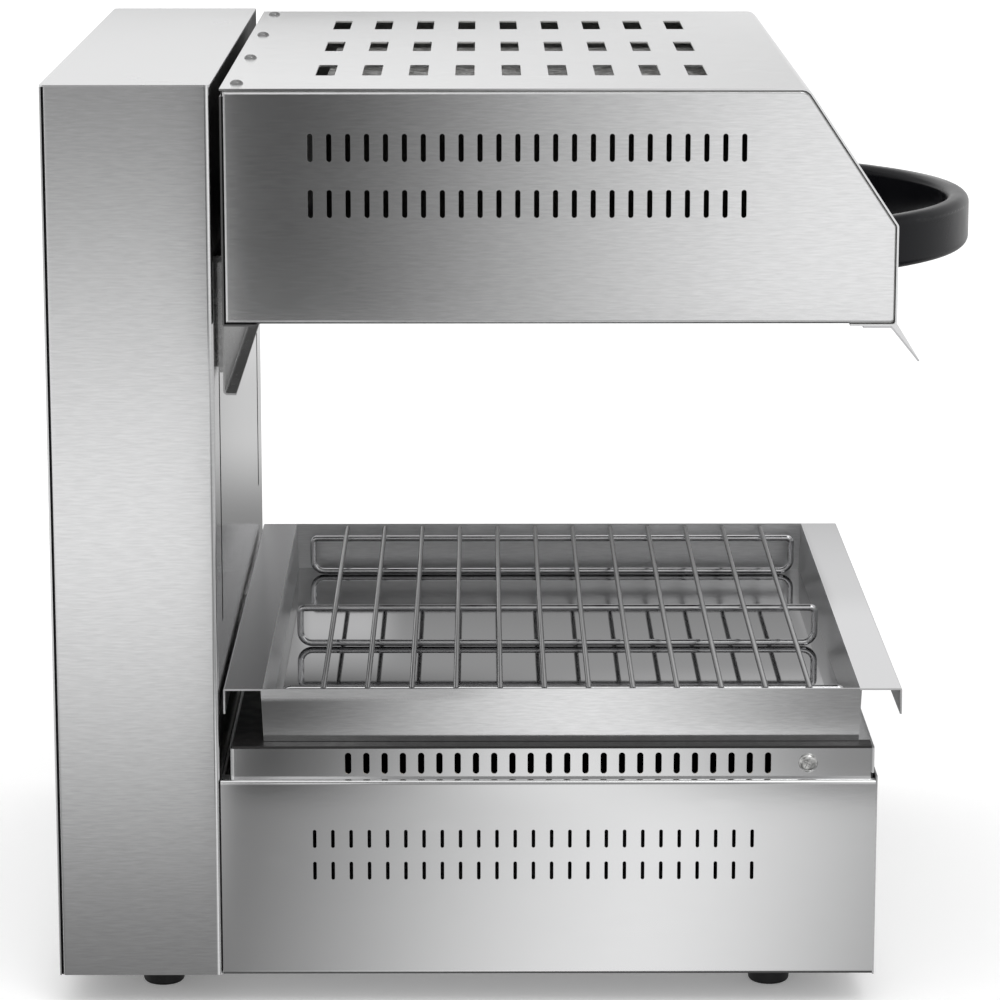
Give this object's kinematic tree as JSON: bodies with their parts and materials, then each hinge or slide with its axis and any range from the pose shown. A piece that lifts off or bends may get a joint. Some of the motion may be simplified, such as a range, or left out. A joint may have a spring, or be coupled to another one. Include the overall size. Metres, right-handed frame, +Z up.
{
  "type": "cheese melter",
  "caption": "Countertop cheese melter: a heated hood slides up and down a rear column above a drip tray and wire rack on a slotted base, with a bow handle in front.",
  "frame": {"origin": "on the table, under the middle of the overall box, feet at z = 0", "axes": "+Z up, the front with the handle and controls faces -Y, +X to the right of a person who looks at the front"},
  "size_m": [0.45, 0.5362, 0.5102],
  "materials": {
    "brushed_sheet": "brushed",
    "bright_sheet": "polished",
    "dark_deck": "satin enamel",
    "bare_steel": "mill",
    "chrome_wire": "bright",
    "fastener": "bright",
    "black_plastic": "satin",
    "black_rubber": "matt",
    "cast_weight": "painted",
    "brass": "plain",
    "ceramic": "glazed ceramic",
    "fibre": "fibre",
    "element": "oxidised",
    "amber_lens": "clear lens",
    "green_lens": "clear lens",
    "red_rocker": "gloss"
  },
  "bodies": {
    "chassis": {"column_shell": "brushed_sheet", "column_cap": "brushed_sheet", "column_floor": "bare_steel", "column_back": "brushed_sheet", "back_screws": "fastener", "cord_gland": "black_plastic", "base_shell": "brushed_sheet", "base_bulkhead": "bare_steel", "chassis_bolts": "fastener", "control_panel": "brushed_sheet", "terminal_block": "ceramic", "energy_regulator": "black_plastic", "switch_housing": "black_plastic", "power_lamp": "green_lens", "heat_lamp": "amber_lens", "plinth_frame": "bright_sheet", "plinth_deck": "dark_deck", "plinth_screws": "fastener", "feet": "black_rubber", "foot_studs": "fastener", "guide_rods": "chrome_wire", "rod_blocks": "bare_steel", "stop_buffers": "black_rubber", "weight_guides": "bare_steel", "pulley_axles": "fastener", "pulley_brackets": "bare_steel", "cable_wraps": "bare_steel"},
    "hood": {"hood_cover": "brushed_sheet", "hood_side_left": "brushed_sheet", "hood_side_right": "brushed_sheet", "hood_back": "brushed_sheet", "rear_skirt": "brushed_sheet", "front_lip": "brushed_sheet", "cover_screws": "fastener", "handle": "black_plastic", "handle_screws": "fastener", "reflector": "bright_sheet", "heating_elements": "element", "heater_terminals": "ceramic", "heater_hangers": "bright_sheet", "insulation": "fibre", "heat_shield": "bright_sheet", "lift_arms": "bare_steel", "arm_bolts": "fastener", "carriage_plate": "bare_steel", "bearing_blocks": "bare_steel", "bushes": "brass", "carriage_cables": "bare_steel"},
    "weight": {"counterweight": "cast_weight", "weight_cables": "bare_steel"},
    "left_pulley_wheel": {"pulley_left": "black_plastic"},
    "right_pulley_wheel": {"pulley_right": "black_plastic"},
    "tray": {"drip_tray": "bright_sheet"},
    "rack": {"rack_crosswires": "chrome_wire", "rack_loops": "chrome_wire"},
    "temperature_knob": {"knob": "black_plastic", "regulator_spindle": "fastener"},
    "switch_rocker": {"rocker": "red_rocker"}
  },
  "joints": [
    {"name": "hood_lift", "type": "slide", "parent": "chassis", "child": "hood", "axis": [0, 0, 1], "range_m": [-0.14, 0], "deforming": ["carriage_cables"]},
    {"name": "weight_lift", "type": "slide", "parent": "chassis", "child": "weight", "axis": [0, 0, 1], "range_m": [0, 0.14], "deforming": ["weight_cables"]},
    {"name": "pulley_left_spin", "type": "hinge", "parent": "chassis", "child": "left_pulley_wheel", "pos_m": [-0.1, 0.2092, 0.465], "axis": [1, 0, 0], "range_deg": [0, 364.7]},
    {"name": "pulley_right_spin", "type": "hinge", "parent": "chassis", "child": "right_pulley_wheel", "pos_m": [0.1, 0.2092, 0.465], "axis": [1, 0, 0], "range_deg": [0, 364.7]},
    {"name": "tray_slide", "type": "slide", "parent": "chassis", "child": "tray", "axis": [0, -1, 0], "range_m": [0, 0.3]},
    {"name": "rack_lift", "type": "slide", "parent": "tray", "child": "rack", "axis": [0, 0, 1], "range_m": [0, 0.03]},
    {"name": "knob_turn", "type": "hinge", "parent": "chassis", "child": "temperature_knob", "pos_m": [0.112, -0.1997, 0.074], "axis": [0, 1, 0], "range_deg": [0, 270]},
    {"name": "switch_rock", "type": "hinge", "parent": "chassis", "child": "switch_rocker", "pos_m": [0.182, -0.1957, 0.074], "axis": [1, 0, 0], "range_deg": [0, 20]}
  ],
  "couplings": [
    {"joint": "weight_lift", "follows": "hood_lift", "ratio": -1},
    {"joint": "pulley_left_spin", "follows": "hood_lift", "rad_per_m": -45.455},
    {"joint": "pulley_right_spin", "follows": "hood_lift", "rad_per_m": -45.455}
  ]
}
